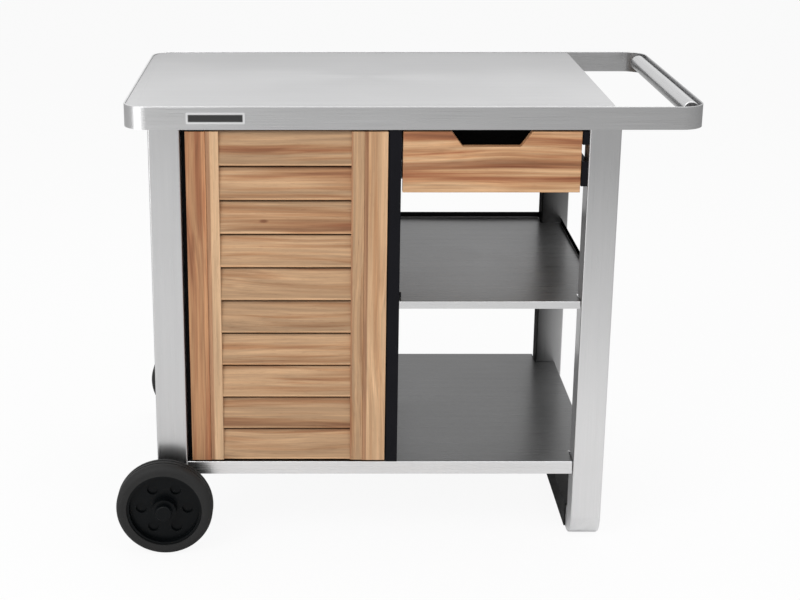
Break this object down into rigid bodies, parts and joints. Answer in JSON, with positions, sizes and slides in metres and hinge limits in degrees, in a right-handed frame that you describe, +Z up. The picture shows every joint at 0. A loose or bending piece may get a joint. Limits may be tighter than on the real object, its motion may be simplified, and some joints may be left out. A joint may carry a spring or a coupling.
{
  "type": "grill cart",
  "caption": "Wheeled grill cart with a steel worktop and push handle, a slatted wood door over a cabinet, a wood drawer and open steel shelves below it.",
  "frame": {"origin": "on the floor, under the middle of the whole cart's box", "axes": "+X from the wheels to the push handle, -Y towards the person at the door and the drawer, +Z up"},
  "size_m": [1.132, 0.7428, 0.9],
  "materials": {
    "stainless_steel": "fine brushed",
    "oiled_wood": "oiled hardwood",
    "zinc_steel": "zinc plated",
    "black_board": "black faced board",
    "black_plastic": "moulded, matt",
    "tyre_rubber": "matt rubber",
    "wheel_plastic": "moulded, gloss",
    "bush_nylon": "natural nylon"
  },
  "bodies": {
    "frame": {"axle": "zinc_steel", "axle_bushes": "black_plastic", "axle_nuts": "zinc_steel", "axle_washers": "zinc_steel", "badge_plate": "stainless_steel", "bottom_shelf": "stainless_steel", "bottom_shelf_stiffener": "zinc_steel", "cabinet_back_panel": "black_board", "cabinet_side_panel": "black_board", "cross_rails": "zinc_steel", "divider_panel": "black_board", "door_magnet_catch": "black_plastic", "door_pivot_plates": "zinc_steel", "drawer_carrier_bars": "black_board", "drawer_rail_left": "zinc_steel", "drawer_rail_right": "zinc_steel", "front_left_leg": "stainless_steel", "front_top_rail": "zinc_steel", "handle_bar": "stainless_steel", "handle_end_plugs": "black_plastic", "left_leg_caps": "black_plastic", "leg_top_inserts": "zinc_steel", "leg_top_screws": "zinc_steel", "middle_shelf": "stainless_steel", "rear_left_leg": "stainless_steel", "rear_top_rail": "zinc_steel", "right_leg_loop": "stainless_steel", "runner_cover": "black_plastic", "shelf_bolts": "zinc_steel", "shelf_spacers": "black_plastic", "top_band": "stainless_steel", "worktop": "stainless_steel", "worktop_stiffeners": "zinc_steel"},
    "door": {"door_back_rails": "oiled_wood", "door_left_inner_stile": "oiled_wood", "door_left_stile": "oiled_wood", "door_pivot_pins": "zinc_steel", "door_right_inner_stile": "oiled_wood", "door_right_stile": "oiled_wood", "door_screws": "zinc_steel", "door_slats": "oiled_wood", "door_strike_plate": "zinc_steel"},
    "drawer": {"drawer_front": "oiled_wood", "drawer_finger_pocket": "black_plastic", "drawer_inner_front": "oiled_wood", "drawer_left_side": "oiled_wood", "drawer_right_side": "oiled_wood", "drawer_back": "oiled_wood", "drawer_bottom": "oiled_wood", "drawer_dowels": "oiled_wood", "drawer_runner_left": "zinc_steel", "drawer_runner_right": "zinc_steel"},
    "front_wheel": {"front_tyre": "tyre_rubber", "front_rim": "wheel_plastic", "front_wheel_bush": "bush_nylon", "front_hub_cap": "wheel_plastic"},
    "rear_wheel": {"rear_tyre": "tyre_rubber", "rear_rim": "wheel_plastic", "rear_wheel_bush": "bush_nylon", "rear_hub_cap": "wheel_plastic"}
  },
  "joints": [
    {"name": "door_swing", "type": "hinge", "parent": "frame", "child": "door", "pos_m": [-0.408, -0.291, 0.515], "axis": [0, 0, -1], "range_deg": [0, 90]},
    {"name": "drawer_slide", "type": "slide", "parent": "frame", "child": "drawer", "axis": [0, -1, 0], "range_m": [0, 0.35]},
    {"name": "front_wheel_spin", "type": "hinge", "parent": "frame", "child": "front_wheel", "pos_m": [-0.47, -0.3354, 0.096], "axis": [0, 1, 0], "continuous": true},
    {"name": "rear_wheel_spin", "type": "hinge", "parent": "frame", "child": "rear_wheel", "pos_m": [-0.47, 0.3354, 0.096], "axis": [0, 1, 0], "continuous": true}
  ]
}
